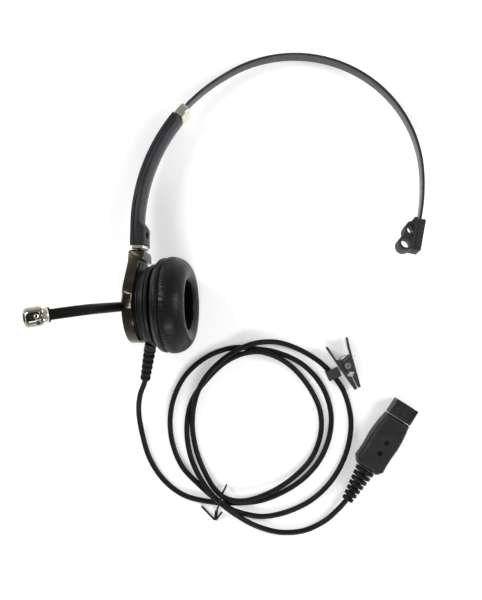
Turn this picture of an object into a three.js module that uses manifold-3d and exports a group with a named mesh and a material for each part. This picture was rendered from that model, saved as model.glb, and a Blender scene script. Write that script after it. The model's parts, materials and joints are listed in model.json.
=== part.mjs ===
// Single-ear office headset lying on a table: a padded ear cup with a microphone boom,
// a spring-steel headband that slides in a side arm, a temple pad, and a cord with a
// clothing clip and a quick-disconnect plug. Millimetres, +Z up, the table is z = 0.
import * as THREE from 'three';
import { mergeVertices } from 'three/addons/utils/BufferGeometryUtils.js';
import Module from 'manifold-3d';

const wasm = await Module();
wasm.setup();

// ---------------------------------------------------------------- driving dimensions
const GAP = 0.3; // clearance between pieces that touch

// The layout frame has its own zero; the part's origin is the middle of the headset's footprint.
const LAYOUT_CENTRE = { x: 0.2, y: 57.9 };

// The headband lies in a plane of its own, which leans a little on the table.
const BAND_SLOPE = { x: 0.01, y: -0.135 };
const BAND_HEIGHT = 24.05;

// Headband arcs, as the outer face of the strap in the band plane.
const ARM_ARC = { u: 47.4, v: 41.5, r: 109 };
const CROWN_ARC_R = 74.5;
const CROWN_ARC_JOIN = 117.5;
const TEMPLE_ARC_R = 113.3;
const TEMPLE_ARC_JOIN = 3.3;
const TEMPLE_ARC_END = -11.5;
const STRAP = { thickness: 1.6, halfWidth: 4.3, tailAngle: 170, straightEnd: 13.5, chamfer: 0.3 };

// Arm: offsets from the strap's outer face, and its angles along the arm arc.
const ARM = { mouthAngle: 142, curveEnd: 178, straight: 10.8, outer: 1.4, split: -0.7, ridge: -3.4 };
const ARM_HALF_WIDTH = { mouth: 7.8, boss: 8.8 };
const ARM_CROWN = { mouthDepth: 1.8, bossDepth: 2.2, inset: 4.6 };
const BOSS_DEPTH = 3;
const ARM_SCREW = { side: 4.9, aboveEnd: 5.9 };
const CHANNEL = { outer: 0.25, inner: -1.9, halfWidth: 5.6, endAngle: 172.3 };
const FERRULE = { from: 141.7, to: 137.8, halfWidth: 7.5, outer: 1.1, inner: -5.1, window: 5, taper: 0.7 };

// Swivel between arm and ear cup.
const CUP_CENTRE = { u: -58.8, v: -3.3 };
const CUP_TURN = 9;
const PIN = { r: 1.8, boreR: 2.1, from: 24.6, to: 42 };
const SWIVEL_RING = { from: 32.1, to: 33.8, halfWidth: 8 };
const SWIVEL_WASHER = { from: 31.35, to: 31.9, r: 4 };

// Ear cup: radii, and places along its axis counted from the middle of the rim.
const RIM = { r: 21.2, wall: 1.7, back: -3.3, front: 2.65, neckHalf: 9.2, neckTop: 26 };
const NECK = { from: 25.4, top: 31.1, back: 3.9, front: 5.2, halfWidth: 8.2, chamfer: 0.5 };
const NOTCH = { halfWidth: 4, halfDepth: 2, depth: 1 };
const COVER = {
  r: 19.2, neckHalf: 6.9, neckTop: 24, back: -3.1, split: 0.15, front: 3.2, dishR: 14, dishFloor: -2,
};
const HOUSING_SCREW = { radius: 15.4, r: 0.8, headR: 1.5, to: 5.8 };
const GRILLE = { r: 17.3, from: 11.5, to: 12.7, holeR: 0.9 };
const CUSHION_PROFILE = [
  [12.6, 13.3], [18.2, 13.1], [23.4, 12.2], [26, 13.6], [27.15, 17.6], [26.7, 24], [24, 28.6],
  [19.6, 31.4], [15.6, 30.8], [12.6, 27.8], [11.6, 23], [12, 17],
];

// Boom: it lies on the outer face of the cup and turns about the cup's axis.
const BOOM = { turn: 8.6, offset: -6.4, r: 2.7, knee: 54.6, bendStart: 58, bendR: 30, bendAngle: 55, lean: 7.5 };
const HUB = { r: 8.5, from: -7.2, to: -3.9, stubStart: 5.9, stubEnd: 12, boreR: 1.6, boreStart: 7.5, capR: 5.2 };
const MIC = { r: 4.8, wall: 0.9, ring: [0.3, 1.2], collar: [1.5, 4.5], capsule: [4.8, 12.4] };

// Temple pad: it turns about a rivet near the end of the strap.
const PAD = {
  halfWidth: 7, wallAt: 5.6, plateIn: 1.15, plateOut: 2.9, top: 7.5, bottom: -10.6, base: -2.9, endAt: -5.6,
};
const PAD_LOOPS = [
  { x: -4.8, y: 1, rx: 3.2, ry: 4.1, wall: 1.2 },
  { x: -5.7, y: -7.4, rx: 4.4, ry: 4.5, wall: 1.3 },
];
const RIVET = { r: 1.6, boreR: 1.9, headR: 2.7, headAt: 2.1, along: 9.3 };

// Cord, plug and clip, in the layout frame.
const CORD_DIAMETER = 3.2;
const CORD_ROUTE = [
  [-56.4, -48.5, 13.4], [-59.3, -55.9, 10], [-60.6, -65.8, 6], [-59.2, -78.2, 3], [-54.7, -94.2, 2],
  [-46.3, -107.3, 1.8], [-34.7, -116.3, 1.8], [-19.1, -120.5, 1.8], [-2.4, -121.3, 1.8], [11.7, -119.9, 1.8],
  [26.3, -114.1, 1.8], [38.6, -105.6, 1.8], [47.8, -94.3, 1.8], [53, -80.7, 1.8], [53.7, -67, 1.8],
  [48.7, -52, 1.8], [37.7, -39.2, 1.8], [22.7, -31.7, 1.8], [6.6, -28.9, 1.8], [-6, -28.7, 1.8],
  [-20.9, -34.3, 1.8], [-34.1, -46.2, 1.8], [-41.4, -63.4, 1.8], [-41.7, -81.9, 1.8], [-35.3, -99.2, 2],
  [-24.4, -110.4, 3.8], [-16, -117.5, 5], [-7.7, -123.3, 5], [1.8, -127.4, 3], [13.8, -129.4, 1.8],
  [29.3, -126, 1.8], [43.7, -118.4, 1.8], [55.6, -105.9, 1.8], [63.4, -89.7, 1.8], [65.7, -71.7, 1.9],
  [61.1, -54.2, 3.5], [54.7, -44.9, 4.2], [47.4, -37.3, 3.5], [35.3, -29.8, 1.9], [21.5, -25.2, 2.1],
  [8.9, -25.6, 4.4], [0, -28.7, 5.2], [-11.3, -35.8, 5], [-21.7, -46.9, 5.1], [-26.7, -57.6, 5],
  [-29.1, -73.5, 2.1], [-26.9, -89.1, 1.8], [-21.8, -102.2, 3.2], [-15.7, -112.1, 4.9], [-9.2, -117.6, 5.2],
  [1.2, -119.3, 5.2], [17.2, -114.5, 4.6], [32.2, -105, 3.2], [42.7, -93.6, 1.8], [47.8, -78.9, 1.8],
  [46.9, -64.9, 1.8], [38.9, -49.4, 1.8], [26.8, -37.1, 3.3], [13.1, -31.1, 5], [3, -31.5, 4.2],
  [-9, -36.9, 1.8], [-20.3, -47.4, 1.8], [-29.3, -60.1, 1.8], [-32.4, -75.9, 1.8], [-30.2, -92.9, 2.4],
  [-24.9, -104.5, 5], [-18.3, -113.4, 8], [-10.6, -121, 8.6], [-1.8, -127.8, 7], [9.5, -134.9, 2.8],
  [23.3, -138.7, 2.1], [37.7, -137.8, 1.8], [50.2, -131.9, 1.8], [58.1, -124.4, 3.4], [62.3, -119.2, 5],
];
const CORD_STEPS = 80;
const CUP_RELIEF = {
  from: [-51.8, -27.9, 26], to: [-56.1, -47.7, 13.8], r: 3.5, endR: 2.9, coreR: 1.9, ribs: 6, ribShare: 0.46,
};
const GLAND = { length: 4.2, r: 3.4, boreR: 1.9 };
const PLUG = { x: 74, y: -99.8, angle: 57.6, halfHeight: 6.3, length: 35, noseLength: 10, noseHalf: 7.2 };
const PLUG_HALF_WIDTHS = [
  [0, 6.3], [1.2, 7.4], [3.6, 9.2], [8, 8.9], [13, 8.9], [19, 9.3], [24.5, 9.1], [30, 8.4], [35, 7.6],
];
const PLUG_DOTS = [[12.3, -0.7], [19.6, -0.9]];
const PLUG_RELIEF = {
  r: 5.9, endR: 3.2, coreR: 2.3, ribs: 7, ribShare: 0.58, length: 21.4, sideways: 2, down: -2.5,
};
const CLIP = { x: 62.8, y: -38.6, z: 5.6, angle: -65, halfWidth: 4.25 };
const CLIP_HOLDER = { onCord: 36, boreR: 2.25, min: [-1.8, -13.6, -4.9], max: [4.2, -5.6, 2.3] };
const CLIP_RIVET = { x: 1, from: -7.7, head: -2.95, headTop: -2.4, r: 1.05, boreR: 1.35, headR: 1.7 };
const TIE = {
  r: 0.6,
  twistR: 0.95,
  tails: [[[-23.6, -123.4, 1.1], [-15.8, -131.6, 1.1]], [[-11.4, -126.5, 2.4], [-15.1, -131.8, 1.1]]],
  twist: [[-15.3, -131, 1.4], [-14.6, -126, 2.4]],
  arch: [
    [-14.7, -126.9, 2], [-13.9, -123.4, 7], [-12.5, -118.8, 11.5],
    [-11.1, -113.8, 11.4], [-9.5, -111.5, 7], [-8.7, -110.7, 1.2],
  ],
};

// ---------------------------------------------------------------- materials
function finish(color, roughness, metalness = 0) {
  return new THREE.MeshStandardMaterial({ color, roughness, metalness });
}

const MATERIALS = {
  armPlastic: finish(0x3f4245, 0.45),
  strapSteel: finish(0x4a4b50, 0.35, 0.6),
  chrome: finish(0xcfccc2, 0.12, 1),
  rimMetal: finish(0x574b40, 0.22, 0.9),
  cupPlastic: finish(0x232426, 0.4),
  leatherette: finish(0x1b1b1d, 0.55),
  foam: finish(0x111112, 0.95),
  boomRubber: finish(0x1d1a18, 0.6),
  cordPvc: finish(0x2a2725, 0.5),
  plugPlastic: finish(0x262625, 0.55),
  clipPlastic: finish(0x151517, 0.2),
  steel: finish(0x9a9c9e, 0.3, 1),
  padRubber: finish(0x34352f, 0.6),
  magnet: finish(0x55585c, 0.35, 0.8),
  cone: finish(0x8d8a80, 0.7),
  circuitBoard: finish(0x1f5a35, 0.5),
  gold: finish(0xb08d45, 0.3, 1),
};

// ---------------------------------------------------------------- geometry helpers
const rad = THREE.MathUtils.degToRad;
const v2 = (x, y) => new THREE.Vector2(x, y);
const v3 = (x, y, z) => new THREE.Vector3(x, y, z);

// One closed surface with shared corners and its faces pointing out.
function closedSurface(geometry) {
  const bare = geometry.clone();
  bare.deleteAttribute('normal');
  bare.deleteAttribute('uv');
  const merged = mergeVertices(bare, 1e-4);
  const point = merged.attributes.position;
  const corners = merged.index.array;
  const kept = [];
  const a = v3();
  const b = v3();
  const c = v3();
  let volume = 0;
  for (let i = 0; i < corners.length; i += 3) {
    const [p, q, r] = [corners[i], corners[i + 1], corners[i + 2]];
    if (p === q || q === r || r === p) continue;
    a.fromBufferAttribute(point, p);
    b.fromBufferAttribute(point, q);
    c.fromBufferAttribute(point, r);
    volume += a.dot(b.cross(c));
    kept.push(p, q, r);
  }
  if (volume < 0) kept.reverse();
  merged.setIndex(kept);
  return merged;
}

function toManifold(geometry) {
  const surface = closedSurface(geometry);
  return new wasm.Manifold(new wasm.Mesh({
    numProp: 3,
    vertProperties: new Float32Array(surface.attributes.position.array),
    triVerts: new Uint32Array(surface.index.array),
  }));
}

function fromManifold(manifold) {
  const mesh = manifold.getMesh();
  const geometry = new THREE.BufferGeometry();
  geometry.setAttribute('position', new THREE.BufferAttribute(mesh.vertProperties, 3));
  geometry.setIndex(new THREE.BufferAttribute(mesh.triVerts, 1));
  return geometry;
}

function join(first, ...others) {
  return fromManifold(others.reduce((sum, one) => sum.add(toManifold(one)), toManifold(first)));
}

function cut(base, ...tools) {
  return fromManifold(tools.reduce((rest, tool) => rest.subtract(toManifold(tool)), toManifold(base)));
}

// A skin through the same outline at each station, closed by flat ends.
function loft(stations, outlineAt, placeAt) {
  const outlines = stations.map(outlineAt);
  const count = outlines[0].length;
  const points = outlines.flatMap((outline, i) => outline.map((p) => placeAt(p, stations[i])));
  const index = [];
  for (let i = 0; i < stations.length - 1; i += 1) {
    for (let j = 0; j < count; j += 1) {
      const near = i * count + j;
      const next = i * count + ((j + 1) % count);
      index.push(near, next, next + count, near, next + count, near + count);
    }
  }
  const last = (stations.length - 1) * count;
  for (const [p, q, r] of THREE.ShapeUtils.triangulateShape(outlines[0], [])) {
    index.push(r, q, p);
  }
  for (const [p, q, r] of THREE.ShapeUtils.triangulateShape(outlines[stations.length - 1], [])) {
    index.push(last + p, last + q, last + r);
  }
  const geometry = new THREE.BufferGeometry().setFromPoints(points);
  geometry.setIndex(index);
  return geometry;
}

// A profile of [radius, height] pairs turned about Z; a profile off the axis is closed into a ring.
function lathe(profile, segments = 32) {
  const onAxis = profile[0][0] === 0 && profile[profile.length - 1][0] === 0;
  const points = profile.map(([r, z]) => v2(r, z));
  if (!onAxis) points.push(points[0].clone());
  return new THREE.LatheGeometry(points, segments).rotateX(Math.PI / 2);
}

const disc = (r, from, to, segments = 32) => lathe([[0, from], [r, from], [r, to], [0, to]], segments);
const ring = (inner, outer, from, to, segments = 32) => (
  lathe([[inner, from], [outer, from], [outer, to], [inner, to]], segments)
);

function block(min, max) {
  const size = v3(max[0] - min[0], max[1] - min[1], max[2] - min[2]);
  const middle = v3((max[0] + min[0]) / 2, (max[1] + min[1]) / 2, (max[2] + min[2]) / 2);
  return new THREE.BoxGeometry(size.x, size.y, size.z).translate(middle.x, middle.y, middle.z);
}

function plate(shape, from, to, curveSegments = 16) {
  const depth = to - from;
  return new THREE.ExtrudeGeometry(shape, { depth, bevelEnabled: false, curveSegments }).translate(0, 0, from);
}

function tube(curve, r, sides, steps) {
  const section = new THREE.Shape();
  section.absarc(0, 0, r, 0, Math.PI * 2, false);
  return new THREE.ExtrudeGeometry(section, {
    extrudePath: curve, steps, curveSegments: sides / 2, bevelEnabled: false,
  });
}

function add(parent, name, geometry, material) {
  const mesh = new THREE.Mesh(closedSurface(geometry), material);
  mesh.name = name;
  parent.add(mesh);
  return mesh;
}

// A group whose +Z runs from one point towards another.
function aimedGroup(parent, from, to) {
  const group = new THREE.Group();
  const direction = v3(...to).sub(v3(...from)).normalize();
  group.position.set(...from);
  group.quaternion.setFromUnitVectors(v3(0, 0, 1), direction);
  parent.add(group);
  return group;
}

// Geometry drawn in one group, as it stands in another.
function inFrameOf(group, source, geometry) {
  headset.updateMatrixWorld(true);
  return geometry.applyMatrix4(group.matrixWorld.clone().invert().multiply(source.matrixWorld));
}

// ---------------------------------------------------------------- frames
const headset = new THREE.Group();
headset.position.set(-LAYOUT_CENTRE.x, -LAYOUT_CENTRE.y, 0);

const bandNormal = v3(-BAND_SLOPE.x, -BAND_SLOPE.y, 1).normalize();
const bandAcross = v3(1, 0, 0).addScaledVector(bandNormal, -bandNormal.x).normalize();
const bandAlong = bandNormal.clone().cross(bandAcross);

const band = new THREE.Group();
band.quaternion.setFromRotationMatrix(new THREE.Matrix4().makeBasis(bandAcross, bandAlong, bandNormal));
band.position.set(0, 0, BAND_HEIGHT);
headset.add(band);

const cup = new THREE.Group();
cup.position.set(CUP_CENTRE.u, CUP_CENTRE.v, 0);
cup.rotation.y = rad(90 - CUP_TURN);
band.add(cup);

const relief = aimedGroup(headset, CUP_RELIEF.from, CUP_RELIEF.to);

const boom = new THREE.Group();
boom.rotation.z = rad(180 + BOOM.turn);
cup.add(boom);

// The boom's free end leans a little to one side; this group's X runs along the stem.
const reach = new THREE.Group();
reach.position.z = BOOM.offset;
reach.rotation.x = rad(BOOM.lean);
boom.add(reach);

// ---------------------------------------------------------------- headband strap and arm
function tangentArc(arc, r, angle) {
  const step = arc.r - r;
  return { u: arc.u + step * Math.cos(rad(angle)), v: arc.v + step * Math.sin(rad(angle)), r };
}

function arcStations(arc, from, to, count) {
  return Array.from({ length: count + 1 }, (_, i) => {
    const angle = from + ((to - from) * i) / count;
    return { arc, angle, run: [0, 0] };
  });
}

function onBand(point, station) {
  const { arc, angle, run } = station;
  const r = arc.r + point.x;
  return v3(arc.u + r * Math.cos(rad(angle)) + run[0], arc.v + r * Math.sin(rad(angle)) + run[1], point.y);
}

const crownArc = tangentArc(ARM_ARC, CROWN_ARC_R, CROWN_ARC_JOIN);
const templeArc = tangentArc(crownArc, TEMPLE_ARC_R, TEMPLE_ARC_JOIN);

function strapEndStation(distance) {
  const angle = rad(TEMPLE_ARC_END);
  const run = [Math.sin(angle) * distance, -Math.cos(angle) * distance];
  return { arc: templeArc, angle: TEMPLE_ARC_END, run };
}

const rivetPoint = onBand(v2(-STRAP.thickness / 2, 0), strapEndStation(RIVET.along));

function boxOutline(inner, outer, halfWidth, chamfer = 0) {
  return [
    v2(outer, halfWidth - chamfer), v2(outer - chamfer, halfWidth),
    v2(inner + chamfer, halfWidth), v2(inner, halfWidth - chamfer),
    v2(inner, chamfer - halfWidth), v2(inner + chamfer, -halfWidth),
    v2(outer - chamfer, -halfWidth), v2(outer, chamfer - halfWidth),
  ];
}

function plainOutline(inner, outer, halfWidth) {
  return [v2(outer, halfWidth), v2(inner, halfWidth), v2(inner, -halfWidth), v2(outer, -halfWidth)];
}

function padFrame() {
  const group = new THREE.Group();
  group.position.copy(rivetPoint);
  group.rotation.z = rad(TEMPLE_ARC_END);
  band.add(group);
  return group;
}

const pad = padFrame();

// The rivet's axis as the strap sees it, before the pad's own turn.
function strapRivetHole() {
  const hole = disc(RIVET.boreR, -4, 4, 20).rotateY(Math.PI / 2);
  return hole.rotateZ(rad(TEMPLE_ARC_END)).translate(rivetPoint.x, rivetPoint.y, 0);
}

function headbandStrap() {
  const stations = [
    ...arcStations(ARM_ARC, STRAP.tailAngle, CROWN_ARC_JOIN, 20),
    ...arcStations(crownArc, CROWN_ARC_JOIN, TEMPLE_ARC_JOIN, 30).slice(1),
    ...arcStations(templeArc, TEMPLE_ARC_JOIN, TEMPLE_ARC_END, 7).slice(1),
    strapEndStation(STRAP.straightEnd),
  ];
  const outline = () => boxOutline(-STRAP.thickness, 0, STRAP.halfWidth, STRAP.chamfer);
  add(band, 'headband_strap', cut(loft(stations, outline, onBand), strapRivetHole()), MATERIALS.strapSteel);

  const stop = arcStations(ARM_ARC, STRAP.tailAngle + 0.3, STRAP.tailAngle + 1.8, 1);
  const stopOutline = () => plainOutline(-STRAP.thickness, 0, CHANNEL.halfWidth - GAP);
  add(band, 'strap_stop', loft(stop, stopOutline, onBand), MATERIALS.cupPlastic);
}

function armStations() {
  const curved = arcStations(ARM_ARC, ARM.mouthAngle, ARM.curveEnd, 16);
  const straight = [0.6, ARM.straight].map((drop) => ({ arc: ARM_ARC, angle: 180, run: [0, -drop] }));
  return [...curved, ...straight];
}

// A size that grows evenly along the arm, from its mouth to its boss.
function alongArm(station, mouth, boss) {
  const share = (station.angle - ARM.mouthAngle) / (180 - ARM.mouthAngle);
  return THREE.MathUtils.lerp(mouth, boss, share);
}

const armHalfWidth = (station) => alongArm(station, ARM_HALF_WIDTH.mouth, ARM_HALF_WIDTH.boss);

function outerShellOutline(station) {
  return boxOutline(ARM.split + GAP / 2, ARM.outer, armHalfWidth(station), 0.5);
}

function innerShellOutline(station) {
  const half = armHalfWidth(station);
  const ridge = ARM.ridge - (station.angle === 180 ? BOSS_DEPTH : 0);
  const crown = ridge - alongArm(station, ARM_CROWN.mouthDepth, ARM_CROWN.bossDepth);
  const outer = ARM.split - GAP / 2;
  return [
    v2(outer, half), v2(ridge, half), v2(crown, half - ARM_CROWN.inset),
    v2(crown, ARM_CROWN.inset - half), v2(ridge, -half), v2(outer, -half),
  ];
}

// A cylinder along the arm's end, about the swivel axis, from one height above the cup's middle to another.
function onSwivelAxis(r, from, to, segments = 24) {
  return disc(r, from, to, segments).rotateX(-Math.PI / 2).translate(CUP_CENTRE.u, CUP_CENTRE.v, 0);
}

// A cylinder square to the arm's inner face at the boss.
function acrossBoss(r, from, to, side, segments = 16) {
  const height = ARM_ARC.v - ARM.straight + ARM_SCREW.aboveEnd;
  return disc(r, from, to, segments).rotateY(Math.PI / 2).translate(0, height, side * ARM_SCREW.side);
}

function armShells() {
  const stations = armStations();
  const channelStations = arcStations(ARM_ARC, ARM.mouthAngle - 1.5, CHANNEL.endAngle, 14);
  const channel = loft(channelStations, () => plainOutline(CHANNEL.inner, CHANNEL.outer, CHANNEL.halfWidth), onBand);
  const splitU = ARM_ARC.u - ARM_ARC.r - ARM.split;
  const headU = splitU + 3.2;
  const faceU = splitU + 9.5;
  const screwHoles = [-1, 1].flatMap((side) => [
    acrossBoss(1.1, splitU - 1.3, headU + 1, side),
    acrossBoss(1.9, headU, faceU, side),
  ]);
  const bore = onSwivelAxis(PIN.boreR, 30, PIN.to + 0.4);
  const inner = cut(loft(stations, innerShellOutline, onBand), channel, bore, ...screwHoles);
  const outer = cut(loft(stations, outerShellOutline, onBand), channel, ...screwHoles);
  add(band, 'arm_outer_shell', outer, MATERIALS.armPlastic);
  add(band, 'arm_inner_shell', inner, MATERIALS.armPlastic);
  [-1, 1].forEach((side, i) => {
    const shank = acrossBoss(0.8, splitU - 1, headU + 0.8, side, 12);
    const head = acrossBoss(1.6, headU + GAP, headU + 1.5, side, 16);
    add(band, `arm_screw_${i + 1}`, join(head, shank), MATERIALS.steel);
  });
}

function armFerrule() {
  const stations = arcStations(ARM_ARC, FERRULE.from, FERRULE.to, 4);
  const outline = (station) => {
    const slim = station.angle === FERRULE.to ? FERRULE.taper : 0;
    return boxOutline(FERRULE.inner, FERRULE.outer, FERRULE.halfWidth - slim, 0.6);
  };
  const windowStations = arcStations(ARM_ARC, FERRULE.from + 1, FERRULE.to - 1, 2);
  const window = loft(windowStations, () => plainOutline(CHANNEL.inner, CHANNEL.outer, FERRULE.window), onBand);
  add(band, 'arm_ferrule', cut(loft(stations, outline, onBand), window), MATERIALS.chrome);
}

function swivel() {
  const half = SWIVEL_RING.halfWidth;
  const low = CUP_CENTRE.v + SWIVEL_RING.from;
  const high = CUP_CENTRE.v + SWIVEL_RING.to;
  const outerU = ARM_ARC.u - ARM_ARC.r - ARM.outer + 0.7;
  const ridgeU = ARM_ARC.u - ARM_ARC.r - ARM.ridge + BOSS_DEPTH - 0.5;
  const crownU = ridgeU + ARM_CROWN.bossDepth;
  const crownHalf = half - ARM_CROWN.inset;
  const outline = new THREE.Shape([
    v2(outerU, half - 0.6), v2(outerU, 0.6 - half), v2(outerU + 0.6, -half), v2(ridgeU, -half),
    v2(crownU, -crownHalf), v2(crownU, crownHalf), v2(ridgeU, half), v2(outerU + 0.6, half),
  ]);
  const body = plate(outline, -high, -low).rotateX(Math.PI / 2);
  add(band, 'swivel_ring', cut(body, onSwivelAxis(PIN.boreR, 25, 45)), MATERIALS.chrome);

  const pin = disc(PIN.r, PIN.from, PIN.to, 24).rotateX(-Math.PI / 2);
  add(cup, 'swivel_pin', pin, MATERIALS.steel);
  const washer = ring(PIN.boreR, SWIVEL_WASHER.r, SWIVEL_WASHER.from, SWIVEL_WASHER.to, 24).rotateX(-Math.PI / 2);
  add(cup, 'swivel_washer', washer, MATERIALS.steel);
}

// ---------------------------------------------------------------- temple pad
function ellipseShape(loop, shrink) {
  const shape = new THREE.Shape();
  shape.absellipse(loop.x, loop.y, loop.rx - shrink, loop.ry - shrink, 0, Math.PI * 2, false, 0);
  return shape;
}

function templePad() {
  const width = PAD.halfWidth;
  const hole = disc(RIVET.boreR, -6, 4, 20).rotateY(Math.PI / 2);
  const base = block([PAD.base, PAD.bottom, -width], [-PAD.plateIn, PAD.top - 0.5, width]);
  const lip = disc(1.4, -width, width, 16).translate(-2.7, PAD.top - 0.8, 0);
  const solids = PAD_LOOPS.map((loop) => plate(ellipseShape(loop, 0), -width, width, 28));
  const holes = PAD_LOOPS.map((loop) => plate(ellipseShape(loop, loop.wall), -width - 1, width + 1, 28));
  const loops = cut(join(base, lip, ...solids), ...holes, hole);
  add(pad, 'temple_pad', loops, MATERIALS.padRubber);

  // The outer plate's walls cover the strap's edges and end, and stop short of the inner base.
  const face = block([PAD.plateIn, PAD.bottom, -width], [PAD.plateOut, PAD.top, width]);
  const walls = [[-width, -PAD.wallAt], [PAD.wallAt, width]].map(([low, high]) => (
    block([GAP - PAD.plateIn, PAD.bottom, low], [PAD.plateIn + 0.5, PAD.top, high])
  ));
  const end = block([GAP - PAD.plateIn, PAD.bottom, -width], [PAD.plateIn + 0.5, PAD.endAt, width]);
  const backing = join(face, ...walls, end);
  const headPocket = disc(RIVET.headR + GAP, RIVET.headAt - GAP, 4, 24).rotateY(Math.PI / 2);
  add(pad, 'pad_plate', cut(backing, hole, headPocket), MATERIALS.padRubber);

  const rivet = lathe([
    [0, PAD.base + 0.2], [RIVET.r, PAD.base + 0.2], [RIVET.r, RIVET.headAt],
    [RIVET.headR, RIVET.headAt], [RIVET.headR - 0.3, RIVET.headAt + 0.6], [0, RIVET.headAt + 0.7],
  ], 20).rotateY(Math.PI / 2);
  add(pad, 'pad_rivet', rivet, MATERIALS.steel);
}

// ---------------------------------------------------------------- ear cup
// A circle with two straight sides that run up to a flat neck.
function teardrop(r, neckHalf, neckTop, segments = 36) {
  const tangent = Math.atan2(neckTop, neckHalf) - Math.acos(r / Math.hypot(neckHalf, neckTop));
  const sweep = Math.PI + 2 * tangent;
  const round = Array.from({ length: segments + 1 }, (_, i) => {
    const angle = tangent - (sweep * i) / segments;
    return v2(-r * Math.cos(angle), r * Math.sin(angle));
  });
  return new THREE.Shape([v2(-neckHalf, neckTop), ...round, v2(neckHalf, neckTop)]);
}

function rimTrim() {
  const outline = teardrop(RIM.r, RIM.neckHalf, RIM.neckTop);
  outline.holes.push(teardrop(RIM.r - RIM.wall, RIM.neckHalf - 2, RIM.neckTop - RIM.wall));
  const hoop = plate(outline, RIM.back, RIM.front, 40);
  const neckStations = [
    { b: NECK.from, inset: 0, width: RIM.neckHalf - 0.3 },
    { b: NECK.top - 0.8, inset: 0, width: NECK.halfWidth },
    { b: NECK.top, inset: 0.6, width: NECK.halfWidth - 0.6 },
  ];
  const neck = loft(
    neckStations,
    ({ inset, width }) => boxOutline(inset - NECK.back, NECK.front - inset, width, NECK.chamfer),
    (p, station) => v3(p.y, station.b, p.x),
  );
  const bore = disc(PIN.boreR, 20, 34, 24).rotateX(-Math.PI / 2);
  const notch = block(
    [-RIM.r - 1, -NOTCH.halfWidth, -NOTCH.halfDepth],
    [-RIM.r + NOTCH.depth, NOTCH.halfWidth, NOTCH.halfDepth],
  );
  add(cup, 'rim_trim', cut(join(hoop, neck), bore, notch), MATERIALS.rimMetal);
}

const screwAngles = [60, 180, 300].map(rad);

function atScrews(make) {
  return screwAngles.map((angle) => {
    const [a, b] = [HOUSING_SCREW.radius * Math.cos(angle), HOUSING_SCREW.radius * Math.sin(angle)];
    return make().translate(a, b, 0);
  });
}

function cupCovers() {
  const back = plate(teardrop(COVER.r, COVER.neckHalf, COVER.neckTop), COVER.back, -COVER.split, 28);
  const dish = disc(COVER.dishR, COVER.dishFloor, 1, 28);
  const axleHole = disc(2.5, -5, 1, 20);
  const heads = atScrews(() => disc(HOUSING_SCREW.headR + GAP, -1.5, 1, 12));
  add(cup, 'cup_back_cover', cut(back, dish, axleHole, ...heads), MATERIALS.cupPlastic);

  const front = plate(teardrop(COVER.r, COVER.neckHalf, COVER.neckTop), COVER.split, COVER.front, 28);
  const wiringHole = disc(10, -1, 5, 28);
  const shanks = atScrews(() => disc(HOUSING_SCREW.r + GAP, -1, 8, 12));
  add(cup, 'cup_front_frame', cut(front, wiringHole, ...shanks), MATERIALS.cupPlastic);

  const housing = lathe([
    [13, 3.5], [20.2, 3.5], [20.2, 6.2], [22.3, 6.2], [22.3, 8.9], [23.6, 8.9],
    [23.6, 11.2], [17.6, 11.2], [17.6, 6.4], [13, 6.4],
  ], 40);
  const glandSeat = inFrameOf(cup, relief, disc(GLAND.r + GAP, -GLAND.length - GAP, 3, 24));
  add(cup, 'speaker_housing', cut(housing, ...shanks, glandSeat), MATERIALS.cupPlastic);

  atScrews(() => lathe([
    [0, -1.1], [HOUSING_SCREW.headR, -1.1], [HOUSING_SCREW.headR, -0.15], [HOUSING_SCREW.r, -0.15],
    [HOUSING_SCREW.r, HOUSING_SCREW.to], [0, HOUSING_SCREW.to],
  ], 12)).forEach((screw, i) => add(cup, `cup_screw_${i + 1}`, screw, MATERIALS.steel));

  add(cup, 'terminal_board', block([5, -5.5, -1.6], [11.5, 5.5, -0.8]), MATERIALS.circuitBoard);
}

function speaker() {
  const basket = lathe([[9.2, 6.8], [17.2, 6.8], [17.2, 9.4], [14.8, 9.4], [14.8, 8], [9.2, 8]], 32);
  add(cup, 'speaker_frame', basket, MATERIALS.cupPlastic);
  const magnet = lathe([[0, 3.6], [8.8, 3.6], [8.8, 7.6], [5.4, 7.6], [5.4, 5.2], [0, 5.2]], 28);
  add(cup, 'speaker_magnet', magnet, MATERIALS.magnet);
  add(cup, 'speaker_voice_coil', ring(4.2, 4.9, 5.8, 8.6, 24), MATERIALS.gold);
  const cone = lathe([
    [0, 9.6], [5, 8.9], [9, 9.5], [13, 9.8], [14.4, 9.7], [14.4, 10], [13, 10.2], [9, 9.9], [5, 9.3], [0, 10],
  ], 28);
  add(cup, 'speaker_diaphragm', cone, MATERIALS.cone);
}

// Grille with a hexagonal field of sound holes, three rings about a middle one.
function grilleHoles() {
  const pitch = 3.1;
  const holes = [];
  for (let q = -2; q <= 2; q += 1) {
    for (let r = Math.max(-2, -q - 2); r <= Math.min(2, -q + 2); r += 1) {
      const [a, b] = [pitch * (q + r / 2), pitch * r * Math.sqrt(0.75)];
      holes.push(disc(GRILLE.holeR, GRILLE.from - 1, GRILLE.to + 1, 8).translate(a, b, 0));
    }
  }
  return holes;
}

function cushionAndGrille() {
  const face = disc(GRILLE.r, GRILLE.from, GRILLE.to, 36);
  add(cup, 'speaker_grille', cut(face, ...grilleHoles()), MATERIALS.cupPlastic);
  add(cup, 'foam_disc', disc(11.2, 13, 14.6, 28), MATERIALS.foam);
  add(cup, 'ear_cushion', lathe(CUSHION_PROFILE, 40), MATERIALS.leatherette);
}

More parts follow.
